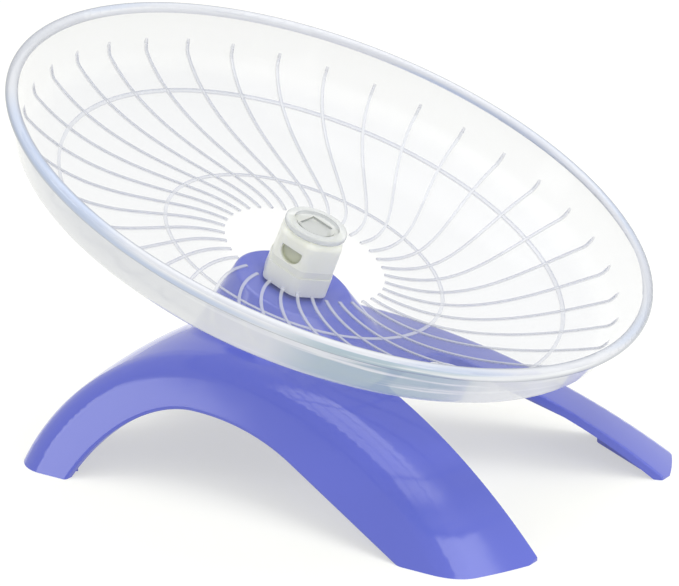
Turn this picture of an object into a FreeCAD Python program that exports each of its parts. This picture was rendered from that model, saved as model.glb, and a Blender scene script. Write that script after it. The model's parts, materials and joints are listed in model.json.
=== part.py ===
import FreeCAD, Part
import math
import os

from FreeCAD import Placement, Rotation, Vector

# Small animal running disc: a clear tilted bowl that spins on two ball bearings
# above a one-piece arched stand. Millimetres and degrees, +Z up, low side of the
# disc towards -Y, origin on the floor under the middle of the object.

# Disc as a whole
disc_diameter = 177.0
disc_tilt = 21.5
rim_height = 76.9           # floor to the middle of the rim plane

# Bowl, measured down from the rim plane
bowl_wall = 2.0
floor_depth = 25.6          # to the inner face of the flat floor
floor_diameter = 69.0       # flat middle of the bowl
dish_radius = 84.7          # inner face from the floor to the bend
dish_angle = 32.5           # slope where the dish meets the bend
bend_radius = 4.0           # inner face between the dish and the steep side
bead_diameter = 3.3         # round bead along the rim
ring_radii = (38.5, 69.6)   # two raised grip rings
ring_width = 1.0
ring_height = 0.5
ring_root = 0.4

# Swirled grip ribs
rib_count = 36
rib_inner_radius = 22.3
rib_outer_radius = 81.9
rib_swirl = 24.5            # angle that a rib turns on its way out
rib_width = 0.9
rib_height = 0.7
rib_start = -20.2           # angle of the first rib's inner end
rib_root = 0.5              # depth that a rib runs into the wall

# Hub block and its cap
hub_corners = 19.6          # across corners of the hexagon at its foot
hub_taper = 0.4             # loss across corners from foot to top
hub_corner = 2.8            # rounding of the upright corners
hub_edge = 2.0              # rounding of the top
hub_turn = 30.0             # angle of the first corner
hub_shoulder = 0.25         # step that the bowl floor sits on
hub_height = 15.7
hub_gap = 1.2               # running gap above the stand
hub_lip = 0.8
hub_lip_clear = 0.5
scoop_width = 6.4
scoop_height = 4.2
scoop_depth = 1.3
scoop_drop = 4.0            # hub top to the flat edge of a scoop
cap_diameter = 17.0
cap_thickness = 1.8
cap_edge = 0.6
cap_recess = 1.1
cap_recess_diameter = 12.6
cap_socket = 6.4            # square socket in the recess
cap_stud = 0.65             # height of the ring round the socket
cap_skirt = 2.0
cap_skirt_wall = 0.9

# Ball bearings
axle_diameter = 4.0
bearing_diameter = 8.0
bearing_width = 3.0
bearing_space = 3.0         # between the two bearings
race_wall = 0.45
ball_count = 9
ball_diameter = 1.2
ball_play = 0.05            # gap from a ball to its groove or pocket
cage_width = 1.1
cage_clear = 0.14
shield_thickness = 0.2
shield_inset = 0.1
shield_clear = 0.12

# Axle bolt, washers and nut
bolt_head_diameter = 7.6
bolt_head_height = 2.6
bolt_head_edge = 0.8
bolt_recess_width = 0.9
bolt_recess_span = 4.2
bolt_recess_depth = 1.4
bolt_end = 0.5              # thread left above the nut
washer_diameter = 9.0
washer_thickness = 0.8
seat_diameter = 5.0
top_washer_diameter = 5.0
top_washer_thickness = 0.6
nut_flats = 7.0
nut_height = 2.6
nut_collar_diameter = 6.2
nut_collar_height = 1.0
nut_ring_wall = 0.6
nut_clear = 0.5             # radial, nut to the turning hub

# Fits
slide_fit = 0.03            # radial, pieces that stay together
hole_clear = 0.15           # radial, bolt through plain holes

# Stand shell
stand_wall = 2.2
stand_half_width = 57.5     # at the floor
stand_lean = 0.75           # inward run of the side face per unit of height
crest_height = 34.5
crest_y = 15.0
heel_reach = 49.6           # crest to heel along the floor
front_radius = 174.0
toe_y = -82.2               # blunt end of the front legs
crown_depth = 150.0         # below the floor, axis that crowns the top
shoulder_radius = 13.0

# Arches and slot
arch_height = 20.2
arch_rear_radius = 30.5
arch_front_radius = 92.0
arch_toe_y = -55.0          # front end of the arch on the floor
slot_end_y = -24.3
slot_end_half_width = 14.6
slot_flare = 0.335          # widening of the slot per unit of length
slot_corner = 8.0
rear_arch_half_width = 30.0
rear_arch_height = 19.0
edge_radius = 0.6           # rounding of the openings

# Pedestal, boss and leg webs
pedestal_depth = 34.2       # rim plane to the plateau
pedestal_radius = 16.0
pedestal_foot_radius = (27.0, 31.0)
pedestal_foot_height = 26.0
pedestal_edge = 1.5
pedestal_fillet = 4.0
boss_diameter = 13.0
boss_length = 20.0
gusset_thickness = 1.8
gusset_length = 11.0
web_thickness = 2.0
web_inset = 6.5             # outer face of the stand to the start of a web

# Worked out sizes
disc_radius = disc_diameter / 2
floor_radius = floor_diameter / 2
bead_middle = bead_diameter / 2
bead_radius = disc_radius - bead_middle
dish_centre = Vector(floor_radius, 0, dish_radius - floor_depth)
bead_centre = Vector(bead_radius, 0, -bead_middle)
rim_y = -bead_middle * math.sin(math.radians(disc_tilt))
axis_frame = Placement(Vector(0, rim_y, rim_height), Rotation(Vector(1, 0, 0), disc_tilt))

plateau_z = -pedestal_depth
hub_foot_z = plateau_z + hub_gap
hub_top_z = hub_foot_z + hub_height
hub_floor_z = -floor_depth - bowl_wall
lower_bearing_z = hub_foot_z + hub_lip
upper_bearing_z = lower_bearing_z + bearing_width + bearing_space
nut_washer_z = upper_bearing_z + bearing_width
nut_z = nut_washer_z + top_washer_thickness
bolt_top_z = nut_z + nut_height + nut_collar_height + bolt_end
boss_foot_z = plateau_z - boss_length
bolt_seat_z = boss_foot_z - washer_thickness

axle_radius = axle_diameter / 2
bearing_radius = bearing_diameter / 2
inner_race_radius = axle_radius + race_wall
outer_race_radius = bearing_radius - race_wall
ball_radius = ball_diameter / 2
pitch_radius = (inner_race_radius + outer_race_radius) / 2
groove_radius = ball_radius + ball_play
bearing_hole = bearing_radius + slide_fit
nut_corner_radius = nut_flats / 2 / math.cos(math.radians(30))
nut_space = nut_corner_radius + nut_clear

arch_heel_angle = math.acos(1 - arch_height / arch_rear_radius)
arch_toe_run = crest_y - arch_toe_y
arch_toe_rise = arch_front_radius - arch_height
arch_toe_angle = (math.acos(arch_front_radius / math.hypot(arch_toe_run, arch_toe_rise))
                  - math.atan2(arch_toe_run, arch_toe_rise))

far = 3 * disc_radius          # reach of cutting blocks past the part
spare = 1.5                    # the stand's raw blocks run past its own size by this
up = Vector(0, 0, 1)
touch = 1e-4                   # points closer than this are the same


def tube(outer, inner, z, height):
    body = Part.makeCylinder(outer, height, Vector(0, 0, z))
    return body.cut(Part.makeCylinder(inner, height, Vector(0, 0, z)))


def on_axis(shape):
    placed = shape.copy()
    placed.Placement = axis_frame.multiply(placed.Placement)
    return placed


def turned(face):
    return face.revolve(Vector(0, 0, 0), up, 360)


def round_edges(shape, level=None):
    """Circular edges of a shape, all of them or those at one level."""
    circles = [edge for edge in shape.Edges if edge.Curve.TypeId == "Part::GeomCircle"]
    return [edge for edge in circles if level is None or abs(edge.CenterOfMass.z - level) < touch]


def polygon_face(points):
    return Part.Face(Part.makePolygon(points + [points[0]]))


def hexagon(across_corners, z):
    radius = across_corners / 2
    angles = [math.radians(hub_turn + 60 * k) for k in range(6)]
    corners = [Vector(radius * math.cos(angle), radius * math.sin(angle), z) for angle in angles]
    return Part.makePolygon(corners + [corners[0]])


def hub_across(z):
    return hub_corners - hub_taper * (z - hub_foot_z) / hub_height


def hexagon_taper(low, high, grow):
    """Part of the hub's rounded six-sided taper between two levels, with its faces moved out by grow."""
    spread = 2 * grow / math.cos(math.radians(30))
    block = Part.makeLoft([hexagon(hub_across(z) + spread, z) for z in (low, high)], True, True)
    corners = [e for e in block.Edges if abs(e.Vertexes[0].Z - e.Vertexes[1].Z) > touch]
    return block.makeFillet(hub_corner + grow, corners)


# Bowl

def down_and_out(angle):
    """Direction in the section, as an angle from straight down."""
    return Vector(math.sin(angle), 0, -math.cos(angle))


dish_end = math.radians(dish_angle)
bend_centre = dish_centre + down_and_out(dish_end) * (dish_radius - bend_radius)
bend_to_bead = bead_centre - bend_centre
side_angle = (math.atan2(bend_to_bead.z, bend_to_bead.x)
              + math.asin((bend_radius + bowl_wall / 2) / bend_to_bead.Length))


def bowl_line(offset, inner):
    """Inner face of the bowl moved outwards by offset, from a radius on the floor up into the bead."""
    dish = [dish_centre + down_and_out(dish_end * share) * (dish_radius + offset) for share in (0.0, 0.5, 1.0)]
    turns = (dish_end, (dish_end + side_angle) / 2, side_angle)
    bend = [bend_centre + down_and_out(turn) * (bend_radius + offset) for turn in turns]
    top = bead_centre + down_and_out(side_angle) * (offset - bowl_wall / 2)
    start = Vector(inner, 0, dish[0].z)
    return [Part.makeLine(start, dish[0]), Part.Arc(*dish).toShape(), Part.Arc(*bend).toShape(),
            Part.makeLine(bend[-1], top)], start, top


def bowl_section(low, high, inner):
    """Band of the bowl between two offsets from its inner face."""
    first, first_start, first_top = bowl_line(low, inner)
    second, second_start, second_top = bowl_line(high, inner)
    ends = [Part.makeLine(first_start, second_start), Part.makeLine(first_top, second_top)]
    return Part.Face(Part.Wire(Part.__sortEdges__(first + second + ends)))


def bead_section():
    return Part.Face(Part.Wire(Part.Circle(bead_centre, Vector(0, 1, 0), bead_diameter / 2).toShape()))


def rib_side(side):
    """One long edge of a rib seen from above, an S curve that starts and ends straight out."""
    third = (rib_outer_radius - rib_inner_radius) / 3
    swirl = math.radians(rib_swirl)
    poles = []
    for radius, angle in ((rib_inner_radius, 0.0), (rib_inner_radius + third, 0.0),
                          (rib_outer_radius - third, swirl), (rib_outer_radius, swirl)):
        out = Vector(math.cos(angle), math.sin(angle), 0)
        poles.append(out * radius + up.cross(out) * (side * rib_width / 2) + up * hub_floor_z)
    curve = Part.BezierCurve()
    curve.setPoles(poles)
    return curve.toShape(), poles[0], poles[-1]


def grip_ribs():
    left, left_in, left_out = rib_side(1)
    right, right_in, right_out = rib_side(-1)
    outline = Part.Wire(Part.__sortEdges__([left, Part.makeLine(left_out, right_out), right,
                                            Part.makeLine(right_in, left_in)]))
    prism = Part.Face(outline).extrude(up * -hub_floor_z)
    rib = prism.common(bowl_band(rib_root, -rib_height))
    ribs = []
    for k in range(rib_count):
        copy = rib.copy()
        copy.rotate(Vector(0, 0, 0), up, rib_start + 360.0 * k / rib_count)
        ribs.append(copy)
    return ribs


def bowl_band(low, high):
    return turned(bowl_section(low, high, rib_inner_radius / 2))


def grip_ring(radius):
    prism = tube(radius + ring_width / 2, radius - ring_width / 2, hub_floor_z, -hub_floor_z)
    return prism.common(bowl_band(ring_root, -ring_height))


def running_disc():
    wall = bowl_section(0.0, bowl_wall, hub_corners / 4)
    profile = wall.fuse(bead_section()).removeSplitter()
    hole = hexagon_taper(hub_floor_z - bowl_wall, -floor_depth + bowl_wall, slide_fit)
    bowl = turned(profile.Faces[0]).cut(hole)
    grips = grip_ribs() + [grip_ring(radius) for radius in ring_radii]
    return bowl.fuse(grips).removeSplitter()


# Hub

def hub_housing():
    foot = hexagon_taper(hub_foot_z, hub_floor_z, hub_shoulder)
    block = hexagon_taper(hub_foot_z, hub_top_z, 0.0)
    top = [e for e in block.Edges if all(abs(v.Z - hub_top_z) < touch for v in e.Vertexes)]
    hub = block.makeFillet(hub_edge, top).fuse(foot)
    lip_hole = outer_race_radius - hub_lip_clear
    levels = (hub_foot_z, lower_bearing_z, nut_washer_z, hub_top_z)
    bores = [Part.makeCylinder(radius, high - low, Vector(0, 0, low))
             for radius, low, high in zip((lip_hole, bearing_hole, nut_space), levels, levels[1:])]
    scoops = [scoop(hub_turn + 30 + 120 * k) for k in range(3)]
    return hub.cut(bores + scoops).removeSplitter()


def scoop(angle):
    """Half-moon pocket with its flat edge up, in the upper half of one face."""
    flat_z = hub_top_z - scoop_drop
    half = scoop_width / 2
    reach = hub_across(flat_z - scoop_height) / 2 * math.cos(math.radians(30)) - scoop_depth
    left = Vector(reach, -half, flat_z)
    right = Vector(reach, half, flat_z)
    low = Vector(reach, 0, flat_z - scoop_height)
    outline = Part.Wire([Part.makeLine(left, right), Part.Arc(right, low, left).toShape()])
    pocket = Part.Face(outline).extrude(Vector(hub_corners, 0, 0))
    pocket.rotate(Vector(0, 0, 0), up, angle)
    return pocket


def hub_cap():
    flange = Part.makeCylinder(cap_diameter / 2, cap_thickness, Vector(0, 0, hub_top_z))
    flange = flange.makeFillet(cap_edge, round_edges(flange))
    recess_z = hub_top_z + cap_thickness - cap_recess
    cap = flange.cut(Part.makeCylinder(cap_recess_diameter / 2, cap_recess, Vector(0, 0, recess_z)))
    corner = Vector(-cap_socket / 2, -cap_socket / 2, recess_z)
    stud = Part.makeCylinder(cap_recess_diameter / 2 - cap_recess, cap_stud, Vector(0, 0, recess_z))
    cap = cap.fuse(stud.cut(Part.makeBox(cap_socket, cap_socket, cap_recess, corner)))
    skirt_radius = nut_space - slide_fit
    skirt = tube(skirt_radius, skirt_radius - cap_skirt_wall, hub_top_z - cap_skirt, cap_skirt)
    return cap.fuse(skirt).removeSplitter()


# Ball bearings, modelled with the lower face at z

def groove(z):
    return Part.makeTorus(pitch_radius, groove_radius, Vector(0, 0, z + bearing_width / 2))


def inner_ring(z):
    return tube(inner_race_radius, axle_radius + slide_fit, z, bearing_width).cut(groove(z))


def outer_ring(z):
    return tube(bearing_radius, outer_race_radius, z, bearing_width).cut(groove(z))


def shields(z):
    inner = inner_race_radius + shield_clear
    low = z + shield_inset
    high = z + bearing_width - shield_inset - shield_thickness
    return [tube(outer_race_radius, inner, level, shield_thickness) for level in (low, high)]


def ball_places(z):
    angles = [2 * math.pi * k / ball_count for k in range(ball_count)]
    middle = z + bearing_width / 2
    return [Vector(pitch_radius * math.cos(a), pitch_radius * math.sin(a), middle) for a in angles]


def balls(z):
    return [Part.makeSphere(ball_radius, place) for place in ball_places(z)]


def cage(z):
    low = z + (bearing_width - cage_width) / 2
    ring = tube(outer_race_radius - cage_clear, inner_race_radius + cage_clear, low, cage_width)
    return ring.cut([Part.makeSphere(groove_radius, place) for place in ball_places(z)])


# Axle

def axle_bolt():
    shank = Part.makeCylinder(axle_radius, bolt_top_z - bolt_seat_z, Vector(0, 0, bolt_seat_z))
    low = bolt_seat_z - bolt_head_height
    head = Part.makeCylinder(bolt_head_diameter / 2, bolt_head_height, Vector(0, 0, low))
    head = head.makeFillet(bolt_head_edge, round_edges(head, low))
    span, width, depth = bolt_recess_span, bolt_recess_width, bolt_recess_depth
    bars = [Part.makeBox(span, width, depth, Vector(-span / 2, -width / 2, low)),
            Part.makeBox(width, span, depth, Vector(-width / 2, -span / 2, low))]
    return shank.fuse(head).cut(bars).removeSplitter()


def bolt_washer():
    return tube(washer_diameter / 2, axle_radius + hole_clear, bolt_seat_z, washer_thickness)


def seat_sleeve():
    return tube(seat_diameter / 2, axle_radius + slide_fit, plateau_z, lower_bearing_z - plateau_z)


def inner_sleeve():
    low = lower_bearing_z + bearing_width
    return tube(inner_race_radius, axle_radius + slide_fit, low, bearing_space)


def outer_sleeve():
    low = lower_bearing_z + bearing_width
    return tube(bearing_radius, outer_race_radius, low, bearing_space)


def nut_washer():
    return tube(top_washer_diameter / 2, axle_radius + slide_fit, nut_washer_z, top_washer_thickness)


def lock_nut():
    body = Part.Face(hexagon(2 * nut_corner_radius, nut_z)).extrude(up * nut_height)
    collar_z = nut_z + nut_height
    collar = Part.makeCylinder(nut_collar_diameter / 2, nut_collar_height, Vector(0, 0, collar_z))
    hole = Part.makeCylinder(axle_radius + slide_fit, nut_height, Vector(0, 0, nut_z))
    seat = Part.makeCylinder(axle_radius + nut_ring_wall, nut_collar_height, Vector(0, 0, collar_z))
    return body.fuse(collar).cut([hole, seat]).removeSplitter()


def nut_ring():
    return tube(axle_radius + nut_ring_wall - slide_fit, axle_radius + slide_fit, nut_z + nut_height,
                nut_collar_height)


# Stand

def crest_profile(inset):
    """Side view of the top, a quarter ellipse behind the crest and an arc before it to the blunt toe."""
    deep = -crest_height / 2
    heel = Vector(0, crest_y + heel_reach - inset, 0)
    crest = Vector(0, crest_y, crest_height - inset)
    ellipse = Part.Ellipse(heel, crest, Vector(0, crest_y, 0))
    centre = Vector(0, crest_y, crest_height - front_radius)
    reach = front_radius - inset
    end = math.asin((crest_y - toe_y - inset) / reach)
    middle, toe = [centre + Vector(0, -reach * math.sin(angle), reach * math.cos(angle))
                   for angle in (end / 2, end)]
    base = Part.makePolygon([heel, Vector(0, heel.y, deep), Vector(0, toe.y, deep), toe])
    edges = base.Edges + [Part.Arc(toe, middle, crest).toShape(),
                          Part.ArcOfEllipse(ellipse, 0, math.pi / 2).toShape()]
    return Part.Face(Part.Wire(Part.__sortEdges__(edges)))


def stand_body(inset):
    """Crowned top between two leaning side faces, with rounded shoulders."""
    profile = crest_profile(inset)
    half_turn = math.degrees(math.atan2(stand_half_width * spare, crown_depth))
    pivot = Vector(0, 0, -crown_depth)
    along = Vector(0, 1, 0)
    profile.rotate(pivot, along, -half_turn)
    top = profile.revolve(pivot, along, 2 * half_turn)
    half = stand_half_width - inset * math.hypot(1, stand_lean)
    low, high = -crest_height / 4, crest_height * spare
    section = polygon_face([Vector(side * (half - stand_lean * z), -far, z)
                            for side, z in ((-1, low), (1, low), (1, high), (-1, high))])
    body = top.common(section.extrude(Vector(0, 2 * far, 0)))
    return body.makeFillet(shoulder_radius - inset, shoulder_edges(body, half))


def middle_of(edge):
    return edge.valueAt(sum(edge.ParameterRange) / 2)


def shared_edges(body, first, second):
    """Edges of a body, above the floor, that lie on the skins of both of two other shapes."""
    edges = []
    for edge in body.Edges:
        spot = Part.Vertex(middle_of(edge))
        gaps = [skin.distToShape(spot)[0] for shape in (first, second) for skin in shape.Shells]
        if max(gaps) < touch and spot.Z > touch:
            edges.append(edge)
    return edges


def shoulder_edges(body, half):
    """Lengthwise edges above the floor where the top meets the side faces."""
    edges = []
    for edge in body.Edges:
        spots = [vertex.Point for vertex in edge.Vertexes] + [middle_of(edge)]
        on_side = all(abs(abs(p.x) - (half - stand_lean * p.z)) < touch for p in spots)
        lengthwise = abs(spots[0].y - spots[1].y) > stand_wall
        if on_side and lengthwise and max(p.z for p in spots) > 0:
            edges.append(edge)
    return edges


def pedestal(inset):
    """Tapered seat from the top of the stand up to the plateau under the hub."""
    centre = axis_frame.multVec(Vector(0, 0, plateau_z - inset))
    circle = Part.Circle(Vector(0, 0, 0), up, pedestal_radius - inset).toShape()
    circle.Placement = Placement(centre, axis_frame.Rotation)
    wide, long = pedestal_foot_radius
    foot = Part.Ellipse(Vector(0, 0, 0), long - inset, wide - inset).toShape()
    foot.Placement = Placement(Vector(0, centre.y, pedestal_foot_height - inset), Rotation(up, 90))
    circle.Placement = circle.Placement.multiply(Placement(Vector(), Rotation(up, 90)))
    return Part.makeLoft([Part.Wire(circle), Part.Wire(foot)], True, True)


def side_arch():
    """Side view of the arch, two arcs that meet at its crown and a straight run to the front leg."""
    crown = Vector(-far, crest_y, arch_height)
    rear = [arch_point(arch_rear_radius, arch_heel_angle * share) for share in (0.5, 1.0)]
    front = [arch_point(arch_front_radius, arch_toe_angle * share) for share in (0.5, 1.0)]
    toe = Vector(-far, arch_toe_y, 0)
    drop = up * arch_height
    base = Part.makePolygon([front[1], toe, toe - drop, rear[1] - drop, rear[1]])
    edges = base.Edges + [Part.Arc(crown, rear[0], rear[1]).toShape(),
                          Part.Arc(crown, front[0], front[1]).toShape()]
    face = Part.Face(Part.Wire(Part.__sortEdges__(edges)))
    return face.extrude(Vector(2 * far, 0, 0))


def arch_point(radius, angle):
    """Point on an arc of the arch, angle from its crown towards the rear."""
    return Vector(-far, crest_y + radius * math.sin(angle), arch_height - radius + radius * math.cos(angle))


def slot_half_width(y):
    return slot_end_half_width + slot_flare * (slot_end_y - y)


def front_slot():
    mouth = -far
    points = [Vector(-slot_half_width(mouth), mouth, -far), Vector(slot_half_width(mouth), mouth, -far),
              Vector(slot_end_half_width, slot_end_y, -far), Vector(-slot_end_half_width, slot_end_y, -far)]
    block = polygon_face(points).extrude(Vector(0, 0, 2 * far))
    ends = [e for e in block.Edges if all(abs(v.Y - slot_end_y) < touch for v in e.Vertexes)
            and abs(e.Vertexes[0].Z - e.Vertexes[1].Z) > touch]
    return block.makeFillet(slot_corner, ends)


def rear_arch():
    half, height = rear_arch_half_width, rear_arch_height
    left, right = Vector(-half, crest_y, 0), Vector(half, crest_y, 0)
    curve = Part.Arc(left, Vector(0, crest_y, height), right).toShape()
    drop = up * height
    base = Part.makePolygon([right, right - drop, left - drop, left])
    return Part.Face(Part.Wire([curve] + base.Edges)).extrude(Vector(0, far, 0))


def leg_webs():
    """Upright walls that close each leg from the arch to the slot or rear arch."""
    arch_heel_y = arch_point(arch_rear_radius, arch_heel_angle).y
    outer = stand_half_width - web_inset
    spans = [((outer, arch_toe_y), (slot_half_width(toe_y), toe_y)),
             ((outer, arch_heel_y + web_thickness), (rear_arch_half_width, crest_y + heel_reach))]
    webs = []
    for start, end in spans:
        for side in (-1, 1):
            a, b = Vector(side * start[0], start[1], 0), Vector(side * end[0], end[1], 0)
            across = (b - a).normalize().cross(up) * (web_thickness / 2)
            webs.append(polygon_face([a - across, b - across, b + across, a + across])
                        .extrude(up * crest_height))
    return webs


def stand():
    openings = [side_arch(), front_slot(), rear_arch()]
    under = Part.makeBox(2 * far, 2 * far, far, Vector(-far, -far, -far))
    skin = stand_body(0.0)
    block = skin.cut(openings + [under])
    rims = [edge for opening in openings for edge in shared_edges(block, skin, opening)]
    block = block.makeFillet(edge_radius, rims)
    seat = pedestal(0.0)
    seat = seat.makeFillet(pedestal_edge, round_edges(seat))
    body = block.fuse(seat)
    body = body.makeFillet(pedestal_fillet, shared_edges(body, block, seat))
    body = body.cut(stand_body(stand_wall).fuse(pedestal(stand_wall)))
    core = stand_body(stand_wall / 2)
    webs = [web.common(core).cut(openings) for web in leg_webs()]
    body = body.fuse(webs + seat_ribs())
    bore = Part.makeCylinder(axle_radius + hole_clear, boss_length, Vector(0, 0, boss_foot_z))
    return body.cut(on_axis(bore)).removeSplitter()


def seat_ribs():
    """Boss for the axle and the cross of gussets that carries it under the plateau."""
    boss = Part.makeCylinder(boss_diameter / 2, boss_length - stand_wall / 2, Vector(0, 0, boss_foot_z))
    long, thin, tall = 2 * pedestal_radius, gusset_thickness, gusset_length
    plates = [Part.makeBox(wide, deep, tall, Vector(-wide / 2, -deep / 2, plateau_z - tall))
              for wide, deep in ((long, thin), (thin, long))]
    core = pedestal(stand_wall / 2)
    return [on_axis(boss)] + [on_axis(plate).common(core) for plate in plates]


def save(name, shape):
    shape.exportStep("parts/" + name + ".step")
    print(name, "solids", len(shape.Solids), "volume", round(shape.Volume, 2), "valid", shape.isValid())


def main():
    os.makedirs("parts", exist_ok=True)
    save("stand", stand())
    axis_parts = {
        "running_disc": running_disc(),
        "hub_housing": hub_housing(),
        "hub_cap": hub_cap(),
        "axle_bolt": axle_bolt(),
        "bolt_washer": bolt_washer(),
        "seat_sleeve": seat_sleeve(),
        "inner_sleeve": inner_sleeve(),
        "outer_sleeve": outer_sleeve(),
        "nut_washer": nut_washer(),
        "lock_nut": lock_nut(),
        "nut_nylon_ring": nut_ring(),
    }
    for place, z in (("lower", lower_bearing_z), ("upper", upper_bearing_z)):
        axis_parts[place + "_inner_ring"] = inner_ring(z)
        axis_parts[place + "_outer_ring"] = outer_ring(z)
        axis_parts[place + "_shields"] = Part.makeCompound(shields(z))
        axis_parts[place + "_balls"] = Part.makeCompound(balls(z))
        axis_parts[place + "_cage"] = cage(z)
    for name, shape in axis_parts.items():
        save(name, on_axis(shape))


main()
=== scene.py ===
import json
import math
from statistics import fmean

import bpy
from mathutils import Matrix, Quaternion, Vector

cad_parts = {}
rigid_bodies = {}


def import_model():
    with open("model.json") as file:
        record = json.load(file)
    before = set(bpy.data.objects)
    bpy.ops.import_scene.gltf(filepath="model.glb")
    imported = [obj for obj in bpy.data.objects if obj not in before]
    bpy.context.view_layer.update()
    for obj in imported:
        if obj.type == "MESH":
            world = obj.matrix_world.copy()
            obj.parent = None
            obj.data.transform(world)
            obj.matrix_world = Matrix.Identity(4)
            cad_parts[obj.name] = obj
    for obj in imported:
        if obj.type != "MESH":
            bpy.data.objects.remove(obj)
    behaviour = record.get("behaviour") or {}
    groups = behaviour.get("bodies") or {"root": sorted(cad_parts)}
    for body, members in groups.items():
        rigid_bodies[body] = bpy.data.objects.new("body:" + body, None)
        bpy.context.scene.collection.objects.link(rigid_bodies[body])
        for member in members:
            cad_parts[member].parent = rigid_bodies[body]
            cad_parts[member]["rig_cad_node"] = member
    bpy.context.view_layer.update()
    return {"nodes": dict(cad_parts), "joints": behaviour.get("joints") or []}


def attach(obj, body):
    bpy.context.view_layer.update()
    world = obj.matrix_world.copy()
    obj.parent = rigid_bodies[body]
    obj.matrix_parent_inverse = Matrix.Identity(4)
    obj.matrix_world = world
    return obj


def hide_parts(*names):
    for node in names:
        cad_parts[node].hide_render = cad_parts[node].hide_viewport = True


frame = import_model()
nodes = frame["nodes"]
print("frame loaded:", len(nodes), "nodes")


# small helpers

def pickOnly(obj):
    bpy.ops.object.select_all(action="DESELECT")
    obj.select_set(True)
    bpy.context.view_layer.objects.active = obj


def linearColor(red, green, blue):  # picture values 0 to 255
    def channel(value):
        value = value / 255
        return value / 12.92 if value <= 0.04045 else ((value + 0.055) / 1.055) ** 2.4
    return (channel(red), channel(green), channel(blue), 1.0)


def smoothRise(value, low, high):
    share = min(max((value - low) / (high - low), 0.0), 1.0)
    return share * share * (3 - 2 * share)


def fillSockets(tree, pairs):
    # each socket gets a link or a plain value
    for socket, value in pairs:
        if hasattr(value, "is_output"):
            tree.links.new(value, socket)
        else:
            socket.default_value = value


def mathNode(tree, operation, *values, clamp=False):
    node = tree.nodes.new("ShaderNodeMath")
    node.operation = operation
    node.use_clamp = clamp
    fillSockets(tree, zip(node.inputs, values))
    return node.outputs["Value"]


def mixNode(tree, factor, first, second):
    node = tree.nodes.new("ShaderNodeMix")
    node.data_type = "RGBA"
    sockets = [node.inputs[label] for label in ("Factor", "A", "B")]
    fillSockets(tree, zip(sockets, (factor, first, second)))
    return node.outputs["Result"]


def rangeNode(tree, value, limits):
    node = tree.nodes.new("ShaderNodeMapRange")
    node.interpolation_type = "SMOOTHSTEP"
    node.inputs["From Min"].default_value, node.inputs["From Max"].default_value = limits
    tree.links.new(value, node.inputs["Value"])
    return node.outputs["Result"]


def noiseNode(tree, scale, detail, vector):
    node = tree.nodes.new("ShaderNodeTexNoise")
    node.inputs["Detail"].default_value = detail
    fillSockets(tree, [(node.inputs["Scale"], scale), (node.inputs["Vector"], vector)])
    return node.outputs["Fac"]


def attributeNode(tree, name, output):
    node = tree.nodes.new("ShaderNodeAttribute")
    node.attribute_name = name
    return node.outputs[output]


# shared shader groups

skinOutputs = (("Color", "NodeSocketColor"), ("Roughness", "NodeSocketFloat"),
               ("Height", "NodeSocketFloat"))


def newGroup(name, inputs):
    group = bpy.data.node_groups.new(name, "ShaderNodeTree")
    for label, kind, value in inputs:
        socket = group.interface.new_socket(label, in_out="INPUT", socket_type=kind)
        socket.default_value = value
    for label, kind in skinOutputs:
        group.interface.new_socket(label, in_out="OUTPUT", socket_type=kind)
    return group, group.nodes.new("NodeGroupInput").outputs, group.nodes.new("NodeGroupOutput").inputs


skinNoise = {"driftDetail": 3.0, "grainDetail": 2.0, "driftMiddle": 0.5}


def mouldedSkinGroup():
    # soft colour drift, satin variation and fine mould grain
    group, given, result = newGroup("mouldedSkin", [
        ("Color", "NodeSocketColor", (0.5, 0.5, 0.5, 1)),
        ("Deep Color", "NodeSocketColor", (0.4, 0.4, 0.4, 1)),
        ("Drift Scale", "NodeSocketFloat", 30.0), ("Grain Scale", "NodeSocketFloat", 2500.0),
        ("Roughness", "NodeSocketFloat", 0.25), ("Roughness Spread", "NodeSocketFloat", 0.06)])
    coords = group.nodes.new("ShaderNodeTexCoord").outputs["Object"]
    drift = noiseNode(group, given["Drift Scale"], skinNoise["driftDetail"], coords)
    grain = noiseNode(group, given["Grain Scale"], skinNoise["grainDetail"], coords)
    color = mixNode(group, drift, given["Color"], given["Deep Color"])
    centred = mathNode(group, "SUBTRACT", drift, skinNoise["driftMiddle"])
    satin = mathNode(group, "MULTIPLY_ADD", centred, given["Roughness Spread"], given["Roughness"])
    fillSockets(group, zip(result, (color, satin, grain)))
    return group


metalNoise = {"patchDetail": 4.0, "streakDetail": 2.0, "streakScale": 900.0,
              "streakSqueeze": (1.0, 1.0, 12.0)}


def workedMetalGroup():
    # fine machining streaks with dull patches
    group, given, result = newGroup("workedMetal", [
        ("Color", "NodeSocketColor", (0.6, 0.6, 0.6, 1)),
        ("Dull Color", "NodeSocketColor", (0.5, 0.5, 0.5, 1)),
        ("Patch Scale", "NodeSocketFloat", 400.0), ("Roughness", "NodeSocketFloat", 0.25),
        ("Roughness Spread", "NodeSocketFloat", 0.15)])
    coords = group.nodes.new("ShaderNodeTexCoord").outputs["Object"]
    squeeze = group.nodes.new("ShaderNodeMapping")
    squeeze.inputs["Scale"].default_value = metalNoise["streakSqueeze"]
    group.links.new(coords, squeeze.inputs["Vector"])
    patch = noiseNode(group, given["Patch Scale"], metalNoise["patchDetail"], coords)
    streak = noiseNode(group, metalNoise["streakScale"], metalNoise["streakDetail"],
                       squeeze.outputs["Vector"])
    color = mixNode(group, patch, given["Color"], given["Dull Color"])
    rough = mathNode(group, "MULTIPLY_ADD", patch, given["Roughness Spread"], given["Roughness"])
    fillSockets(group, zip(result, (color, rough, streak)))
    return group


mouldedSkin = mouldedSkinGroup()
workedMetal = workedMetalGroup()


# materials

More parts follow.
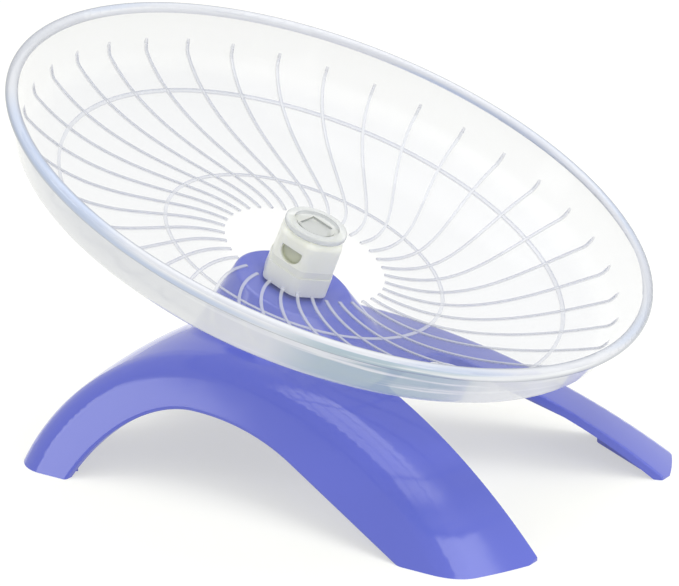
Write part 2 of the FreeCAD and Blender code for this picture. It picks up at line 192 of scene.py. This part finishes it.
def shadedMaterial(name, group, groupValues, fixedValues, bump):
    material = bpy.data.materials.new(name)
    material.use_nodes = True
    tree = material.node_tree
    shader = tree.nodes["Principled BSDF"]
    for label, value in fixedValues.items():
        shader.inputs[label].default_value = value
    skin = tree.nodes.new("ShaderNodeGroup")
    skin.node_tree = group
    for label, value in groupValues.items():
        skin.inputs[label].default_value = value
    relief = tree.nodes.new("ShaderNodeBump")
    relief.inputs["Strength"].default_value = bump["strength"]
    relief.inputs["Distance"].default_value = bump["distance"]
    tree.links.new(skin.outputs["Color"], shader.inputs["Base Color"])
    tree.links.new(skin.outputs["Roughness"], shader.inputs["Roughness"])
    tree.links.new(skin.outputs["Height"], relief.inputs["Height"])
    tree.links.new(relief.outputs["Normal"], shader.inputs["Normal"])
    return material


def addTint(material, maskName, color):
    # another colour where a mesh mask says so
    tree = material.node_tree
    baseColor = tree.nodes["Principled BSDF"].inputs["Base Color"]
    plain = baseColor.links[0].from_socket
    tree.links.new(mixNode(tree, attributeNode(tree, maskName, "Fac"), plain, color), baseColor)


def addStreaks(tree, tinted, masks, settings):
    # soft streaks that run round the wall, greener ones and pale painted highlight streaks, and a painted
    # blue reflection of the stand along the rim
    sweep = attributeNode(tree, "sweep", "Vector")
    streak = noiseNode(tree, settings["streakScale"], settings["streakDetail"], sweep)
    tide = mathNode(tree, "MULTIPLY", attributeNode(tree, "tideMask", "Fac"), masks["wall"])
    green = mathNode(tree, "MULTIPLY", rangeNode(tree, streak, settings["greenRange"]), tide)
    # painted highlight streaks round the wall
    pale = mathNode(tree, "MULTIPLY", rangeNode(tree, streak, settings["highlightStreakRange"]), masks["wall"])
    # painted blue reflection of the stand along the rim
    blueReflectionNoise = noiseNode(tree, settings["blueReflectionScale"], settings["blueReflectionDetail"], sweep)
    blue = mathNode(tree, "MULTIPLY", rangeNode(tree, blueReflectionNoise, settings["blueReflectionRange"]), masks["rim"])
    for factor, color in ((green, "greenColor"), (pale, "highlightStreakColor"), (blue, "blueReflectionColor")):
        tinted = mixNode(tree, factor, tinted, settings[color])
    return tinted


clearShared = {"Drift Scale": 25.0, "Grain Scale": 900.0, "Roughness Spread": 0.04}
clearRelief = {"strength": 0.01, "distance": 0.0001}
clearFixed = {"IOR": 1.49}
facingBlend = 0.5


def clearMaterial(name, settings):
    skinValues = {"Color": settings["color"], "Deep Color": settings["deepColor"],
                  "Roughness": settings["roughness"], **clearShared}
    material = shadedMaterial(name, mouldedSkin, skinValues, clearFixed, clearRelief)
    tree = material.node_tree
    shader = tree.nodes["Principled BSDF"]
    tinted = shader.inputs["Base Color"].links[0].from_socket
    masks = {mask: attributeNode(tree, mask + "Mask", "Fac") for mask in settings["masks"]}
    for mask, finish in settings["masks"].items():
        tinted = mixNode(tree, masks[mask], tinted, finish["color"])
    if "streaks" in settings:
        tinted = addStreaks(tree, tinted, masks, settings["streaks"])

    # painted shade: a darker line where the rim is seen edge on
    weight = tree.nodes.new("ShaderNodeLayerWeight")
    weight.inputs["Blend"].default_value = facingBlend
    edge = rangeNode(tree, weight.outputs["Facing"], settings["edgeFacing"])
    tinted = mixNode(tree, mathNode(tree, "MULTIPLY", edge, masks["rim"]), tinted, settings["edgeShadeColor"])
    tree.links.new(tinted, shader.inputs["Base Color"])

    # a thin film all over, and more where the masks say so
    alpha = settings["filmAlpha"]
    if "wall" in masks:  # the wall is more opaque on its outer side only, the floor clearer round the hub
        side = tree.nodes.new("ShaderNodeNewGeometry")
        front = mathNode(tree, "SUBTRACT", 1.0, side.outputs["Backfacing"])
        masks["wall"] = mathNode(tree, "MULTIPLY", masks["wall"], front)
        filmShare = mathNode(tree, "SUBTRACT", 1.0, attributeNode(tree, "coreMask", "Fac"))
        alpha = mathNode(tree, "MULTIPLY", filmShare, alpha)
    for mask, finish in settings["masks"].items():
        more = mathNode(tree, "MULTIPLY", masks[mask], finish["alpha"])
        alpha = mathNode(tree, "ADD", alpha, more, clamp=True)
    tree.links.new(alpha, shader.inputs["Alpha"])
    return material


periwinkle = shadedMaterial(
    "periwinkleGloss", mouldedSkin,
    {"Color": linearColor(95, 105, 200), "Deep Color": linearColor(89, 99, 194), "Drift Scale": 18.0,
     "Grain Scale": 1800.0, "Roughness": 0.11, "Roughness Spread": 0.03},
    {"IOR": 1.5, "Coat Weight": 0.1, "Coat Roughness": 0.08},
    {"strength": 0.02, "distance": 0.0002})
milky = shadedMaterial(
    "milkyBlock", mouldedSkin,
    {"Color": linearColor(238, 239, 229), "Deep Color": linearColor(230, 232, 220), "Drift Scale": 120.0,
     "Grain Scale": 2600.0, "Roughness": 0.34, "Roughness Spread": 0.08},
    {"IOR": 1.5, "Subsurface Weight": 0.35, "Subsurface Radius": (0.004, 0.004, 0.003),
     "Subsurface Scale": 1.0},
    {"strength": 0.06, "distance": 0.0002})
# painted shade: the backs of the scoops are tinted darker, as the recesses lie in shade
addTint(milky, "scoopShadeMask", linearColor(198, 201, 180))
clearBowl = clearMaterial("clearBowl", {
    "color": linearColor(148, 153, 178), "deepColor": linearColor(141, 147, 172), "roughness": 0.08,
    # edge colour is the painted shade where the rim is seen edge on
    "filmAlpha": 0.14, "edgeFacing": (0.35, 0.9), "edgeShadeColor": linearColor(152, 157, 168),
    "masks": {"wall": {"color": linearColor(213, 215, 220), "alpha": 0.72},
              "grip": {"color": linearColor(188, 191, 200), "alpha": 0.5},
              "rim": {"color": linearColor(214, 216, 221), "alpha": 0.7}},
    # the blue along the rim is a painted reflection of the stand
    "streaks": {"streakScale": 1.6, "streakDetail": 3.0, "blueReflectionScale": 0.9, "blueReflectionDetail": 1.0,
                "greenRange": (0.3, 0.5), "greenColor": linearColor(164, 181, 192),
                # the pale streaks are painted highlights
                "highlightStreakRange": (0.46, 0.32), "highlightStreakColor": linearColor(224, 226, 229),
                "blueReflectionRange": (0.48, 0.62), "blueReflectionColor": linearColor(184, 196, 219)}})
clearCap = clearMaterial("clearCap", {
    "color": linearColor(232, 234, 232), "deepColor": linearColor(226, 229, 227), "roughness": 0.1,
    "filmAlpha": 0.45, "edgeFacing": (0.4, 0.95), "edgeShadeColor": linearColor(166, 170, 174),
    "masks": {"grip": {"color": linearColor(168, 172, 174), "alpha": 0.2},
              "rim": {"color": linearColor(218, 221, 223), "alpha": 0.2}}})
nylon = shadedMaterial(
    "nylonCream", mouldedSkin,
    {"Color": linearColor(236, 232, 218), "Deep Color": linearColor(222, 216, 200), "Drift Scale": 300.0,
     "Grain Scale": 4000.0, "Roughness": 0.45, "Roughness Spread": 0.1},
    {"IOR": 1.53},
    {"strength": 0.08, "distance": 0.0001})
bearingSteel = shadedMaterial(
    "groundSteel", workedMetal,
    {"Color": linearColor(205, 207, 211), "Dull Color": linearColor(186, 188, 193), "Patch Scale": 700.0,
     "Roughness": 0.12, "Roughness Spread": 0.1},
    {"Metallic": 1.0},
    {"strength": 0.04, "distance": 0.0001})
zincSteel = shadedMaterial(
    "zincSteel", workedMetal,
    {"Color": linearColor(196, 198, 200), "Dull Color": linearColor(166, 170, 176), "Patch Scale": 500.0,
     "Roughness": 0.24, "Roughness Spread": 0.18},
    {"Metallic": 1.0},
    {"strength": 0.08, "distance": 0.0001})
print("materials ready")


# smooth copies of the CAD nodes that show

def smoothCopy(nodeName, settings):
    pickOnly(nodes[nodeName])
    bpy.ops.object.duplicate()
    piece = bpy.context.object
    piece.name = settings["name"]
    del piece["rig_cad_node"]
    bpy.ops.object.mode_set(mode="EDIT")
    bpy.ops.mesh.select_all(action="SELECT")
    bpy.ops.mesh.customdata_custom_splitnormals_clear()
    bpy.ops.mesh.remove_doubles(threshold=settings["mergeDistance"])
    bpy.ops.object.mode_set(mode="OBJECT")
    bpy.ops.object.shade_smooth_by_angle(angle=math.radians(settings["smoothAngle"]))
    if settings["evenNormals"]:  # keeps wide faces flat beside small roundings
        even = piece.modifiers.new("evenNormals", "WEIGHTED_NORMAL")
        even.keep_sharp = True
        bpy.ops.object.modifier_apply(modifier=even.name)
    piece.data.materials.clear()
    piece.data.materials.append(settings["material"])
    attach(piece, settings["body"])
    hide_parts(nodeName)
    print("piece", piece.name, len(piece.data.polygons), "faces")
    return piece


standShell = smoothCopy("stand", {
    "name": "standShell", "body": "base", "slot": "blue_plastic", "material": periwinkle,
    "mergeDistance": 0.000002, "smoothAngle": 28, "evenNormals": True})
discBowl = smoothCopy("running_disc", {
    "name": "discBowl", "body": "disc", "slot": "clear_plastic", "material": clearBowl,
    "mergeDistance": 0.000002, "smoothAngle": 28, "evenNormals": False})
hubBlock = smoothCopy("hub_housing", {
    "name": "hubBlock", "body": "disc", "slot": "milky_plastic", "material": milky,
    "mergeDistance": 0.000002, "smoothAngle": 30, "evenNormals": True})
hubCap = smoothCopy("hub_cap", {
    "name": "hubCapClear", "body": "disc", "slot": "clear_plastic", "material": clearCap,
    "mergeDistance": 0.000002, "smoothAngle": 30, "evenNormals": True})


# masks on the disc pieces, worked out about the axle

spin = [joint for joint in frame["joints"] if joint["name"] == "disc_spin"][0]
spinPlace, spinUp = Vector(spin["pos_m"]), Vector(spin["axis"]).normalized()
spinRight = Vector((1, 0, 0))
spinBack = spinUp.cross(spinRight)


def aboutAxle(piece):
    offsets = [vertex.co - spinPlace for vertex in piece.data.vertices]
    return [(offset.dot(spinRight), offset.dot(spinBack), offset.dot(spinUp)) for offset in offsets]


def addMask(piece, name, values, domain="POINT"):
    mask = piece.data.attributes.new(name, "FLOAT", domain)
    mask.data.foreach_set("value", values)


def faceValues(piece, values, rule):
    return [rule([values[index] for index in face.vertices]) for face in piece.data.polygons]


def faceTurns(piece):
    # how far each face looks away from the axle, and up along it
    turns = []
    for face in piece.data.polygons:
        offset = face.center - spinPlace
        outwards = (offset - spinUp * offset.dot(spinUp)).normalized()
        turns.append((face.normal.dot(outwards), face.normal.dot(spinUp)))
    return turns


def addSweep(piece, points, stretch):
    # round the axle once in a unit circle, upwards many times faster
    sweep = piece.data.attributes.new("sweep", "FLOAT_VECTOR", "POINT")
    flat = []
    for across, back, up in points:
        radius = math.hypot(across, back)
        flat += [across / radius, back / radius, up * stretch]
    sweep.data.foreach_set("vector", flat)


bowlShape = {"floorRadius": 0.0345, "floorDepth": 0.0256, "dishRadius": 0.0847, "dishAngle": 32.5,
             "bendRadius": 0.004, "wall": 0.002, "beadRadius": 0.08685, "beadDepth": 0.00165,
             "beadClear": 0.00004, "beadCuts": 1, "ribRise": (0.0001, 0.0004), "ribEnd": 0.0826,
             "wallRise": (0.0765, 0.0805), "outerTurn": 0.3, "sweepStretch": 300.0,
             "tideAngle": 223, "tideReach": (20, 6), "coreRise": (0.0205, 0.026), "coreClear": 0.6}
dishTurn = math.radians(bowlShape["dishAngle"])
dishCentre = (bowlShape["floorRadius"], bowlShape["dishRadius"] - bowlShape["floorDepth"])
dishEnd = dishCentre[0] + bowlShape["dishRadius"] * math.sin(dishTurn)
bendReach = bowlShape["dishRadius"] - bowlShape["bendRadius"]
bendCentre = (dishCentre[0] + bendReach * math.sin(dishTurn),
              dishCentre[1] - bendReach * math.cos(dishTurn))

# slope of the wall where it runs into the bead
beadRun = (bowlShape["beadRadius"] - bendCentre[0], -bowlShape["beadDepth"] - bendCentre[1])
wallMiddle = bowlShape["bendRadius"] + bowlShape["wall"] / 2
wallTurn = math.atan2(beadRun[1], beadRun[0]) + math.asin(wallMiddle / math.hypot(*beadRun))


def ribShare(across, back, up):
    # how far a point stands above the inner face
    radius = math.hypot(across, back)
    if radius > bowlShape["ribEnd"]:
        return 0.0
    if radius < dishCentre[0]:
        lift = up + bowlShape["floorDepth"]
    elif radius < dishEnd:
        lift = bowlShape["dishRadius"] - math.hypot(radius - dishCentre[0], up - dishCentre[1])
    else:
        lift = bowlShape["bendRadius"] - math.hypot(radius - bendCentre[0], up - bendCentre[1])
    return smoothRise(lift, *bowlShape["ribRise"])


def beadShare(across, back, up):
    # on the bead but not where the wall runs into it
    out, rise = math.hypot(across, back) - bowlShape["beadRadius"], up + bowlShape["beadDepth"]
    if math.hypot(out, rise) > bowlShape["beadDepth"] + bowlShape["beadClear"]:
        return 0.0
    along = out * math.cos(wallTurn) + rise * math.sin(wallTurn)
    aside = abs(out * math.sin(wallTurn) - rise * math.cos(wallTurn))
    return 0.0 if along < 0 and aside < bowlShape["wall"] / 2 + bowlShape["beadClear"] else 1.0


def wallShare(across, back, up):
    return smoothRise(math.hypot(across, back), *bowlShape["wallRise"])


def tideShare(across, back, up):
    # the greener stretch of the wall
    off = math.atan2(back, across) - math.radians(bowlShape["tideAngle"])
    return smoothRise(math.cos(off), *[math.cos(math.radians(reach)) for reach in bowlShape["tideReach"]])


def coreShare(across, back, up):
    # the floor round the hub is clearer
    return bowlShape["coreClear"] * (1 - smoothRise(math.hypot(across, back), *bowlShape["coreRise"]))


# the bead's facets are divided and set back on its round section

def roundBead(piece, settings):
    mesh = piece.data
    pickOnly(piece)
    bpy.ops.object.mode_set(mode="EDIT")
    bpy.ops.mesh.select_mode(type="FACE")
    bpy.ops.mesh.select_all(action="DESELECT")
    bpy.ops.object.mode_set(mode="OBJECT")
    shares = [beadShare(*point) for point in aboutAxle(piece)]
    for face in mesh.polygons:
        face.select = all(shares[index] for index in face.vertices)
    bpy.ops.object.mode_set(mode="EDIT")
    bpy.ops.mesh.subdivide(number_cuts=settings["beadCuts"])
    bpy.ops.object.mode_set(mode="OBJECT")
    onBead = {index for face in mesh.polygons if face.select for index in face.vertices}
    for index, (across, back, up) in enumerate(aboutAxle(piece)):
        if index in onBead:
            radius = math.hypot(across, back)
            out, rise = radius - settings["beadRadius"], up + settings["beadDepth"]
            reach = settings["beadDepth"] / math.hypot(out, rise)
            grow = (settings["beadRadius"] + out * reach) / radius
            place = spinRight * (across * grow) + spinBack * (back * grow)
            mesh.vertices[index].co = spinPlace + place + spinUp * (rise * reach - settings["beadDepth"])
    mesh.update()
    print("bead rounded,", len(mesh.polygons), "faces")


roundBead(discBowl, bowlShape)
bowlPoints = aboutAxle(discBowl)
for name, share in (("gripMask", ribShare), ("tideMask", tideShare), ("coreMask", coreShare)):
    addMask(discBowl, name, [share(*point) for point in bowlPoints])
beadShares = faceValues(discBowl, [beadShare(*point) for point in bowlPoints], min)
addMask(discBowl, "rimMask", beadShares, "FACE")
wallShares = faceValues(discBowl, [wallShare(*point) for point in bowlPoints], fmean)
outerShares = [share if outwards - upward > bowlShape["outerTurn"] else 0.0
               for share, (outwards, upward) in zip(wallShares, faceTurns(discBowl))]
addMask(discBowl, "wallMask", outerShares, "FACE")
addSweep(discBowl, bowlPoints, bowlShape["sweepStretch"])

capShape = {"sideTurn": 0.8, "rimRadius": 0.0055, "socketHalf": 0.0036}
capRims, capSockets = [], []
for face, (outwards, upward) in zip(hubCap.data.polygons, faceTurns(hubCap)):
    offset = face.center - spinPlace
    across, back = abs(offset.dot(spinRight)), abs(offset.dot(spinBack))
    upright = abs(upward) < capShape["sideTurn"]
    capRims.append(1.0 if upright and math.hypot(across, back) > capShape["rimRadius"] else 0.0)
    capSockets.append(1.0 if upright and max(across, back) < capShape["socketHalf"] else 0.0)
addMask(hubCap, "rimMask", capRims, "FACE")
addMask(hubCap, "gripMask", capSockets, "FACE")

scoopShape = {"angles": (60, 180, 300), "reach": 0.007104, "slack": 0.0001, "halfWidth": 0.0033}


def scoopShare(across, back, up):
    # on the flat back of a scoop, which gets painted shade
    for angle in scoopShape["angles"]:
        turn = math.radians(angle)
        out = across * math.cos(turn) + back * math.sin(turn)
        side = back * math.cos(turn) - across * math.sin(turn)
        if abs(out - scoopShape["reach"]) < scoopShape["slack"] and abs(side) < scoopShape["halfWidth"]:
            return 1.0
    return 0.0


# mask for the painted shade on the scoop backs
addMask(hubBlock, "scoopShadeMask", [scoopShare(*point) for point in aboutAxle(hubBlock)])
print("masks ready on the bowl, cap and hub")

innerFinishes = (
    (nylon, ("nut_nylon_ring", "lower_cage", "upper_cage")),
    (bearingSteel, ("lower_inner_ring", "upper_inner_ring", "lower_outer_ring", "upper_outer_ring",
                    "lower_balls", "upper_balls", "lower_shields", "upper_shields")),
    (zincSteel, ("axle_bolt", "bolt_washer", "seat_sleeve", "inner_sleeve", "outer_sleeve",
                 "nut_washer", "lock_nut")),
)
for material, names in innerFinishes:
    for name in names:
        nodes[name].data.materials.clear()
        nodes[name].data.materials.append(material)
print("inner pieces finished")


# floor, light and camera

stageSettings = {"floorSize": 12.0, "floorColor": (0.47, 0.47, 0.5, 1), "floorRoughness": 0.9,
                 "floorGlow": 0.515, "floorGlowColor": (1.0, 1.0, 0.84, 1),
                 "skyColor": (1, 1, 1, 1), "skyStrength": 0.8}
bpy.ops.object.select_all(action="DESELECT")
bpy.ops.mesh.primitive_plane_add(size=stageSettings["floorSize"], location=(0, 0, 0))
floor = bpy.context.object
floor.name = "paleFloor"
floorMaterial = bpy.data.materials.new("paleFloor")
floorMaterial.use_nodes = True
floorSockets = floorMaterial.node_tree.nodes["Principled BSDF"].inputs
floorSockets["Base Color"].default_value = stageSettings["floorColor"]
floorSockets["Roughness"].default_value = stageSettings["floorRoughness"]
floorSockets["Emission Color"].default_value = stageSettings["floorGlowColor"]
floorSockets["Emission Strength"].default_value = stageSettings["floorGlow"]  # keeps the shadows pale
floor.data.materials.append(floorMaterial)

world = bpy.data.worlds.new("paleSky")
bpy.context.scene.world = world
world.use_nodes = True
skySockets = world.node_tree.nodes["Background"].inputs
skySockets["Color"].default_value = stageSettings["skyColor"]
skySockets["Strength"].default_value = stageSettings["skyStrength"]

lamps = {
    "overheadCard": {"place": (0.15, -0.15, 1.0), "aim": (0.1, -0.14, 0.02),
                     "size": (1.1, 0.8), "watts": 6.0},
    "sideCard": {"place": (-0.466, 0.557, 0.508), "aim": (-0.05, 0.0145, 0.026),
                 "size": (0.2, 0.2), "watts": 0.36},
    "frontCard": {"place": (-0.35, -0.85, 0.5), "aim": (0, 0, 0.05),
                  "size": (0.5, 0.5), "watts": 2.0},
}
for name, lamp in lamps.items():
    data = bpy.data.lights.new(name, "AREA")
    data.shape = "RECTANGLE"
    data.size, data.size_y = lamp["size"]
    data.energy = lamp["watts"]
    obj = bpy.data.objects.new(name, data)
    bpy.context.scene.collection.objects.link(obj)
    obj.location = lamp["place"]
    obj.rotation_euler = (Vector(lamp["aim"]) - Vector(lamp["place"])).to_track_quat("-Z", "Y").to_euler()

cameraSettings = {"place": (-0.6588, -0.4085, 0.2840), "look": (0.8133, 0.5014, -0.2952), "roll": 1.59,
                  "lens": 164.32, "sensor": 36.0}
cameraData = bpy.data.cameras.new("photoCamera")
cameraData.lens = cameraSettings["lens"]
cameraData.sensor_width = cameraSettings["sensor"]
camera = bpy.data.objects.new("photoCamera", cameraData)
bpy.context.scene.collection.objects.link(camera)
aim = Vector(cameraSettings["look"]).to_track_quat("-Z", "Y")
camera.rotation_mode = "QUATERNION"
camera.rotation_quaternion = aim @ Quaternion((0, 0, 1), math.radians(cameraSettings["roll"]))
camera.location = cameraSettings["place"]
bpy.context.scene.camera = camera
bpy.context.scene.view_settings.view_transform = "Standard"
print("stage ready")
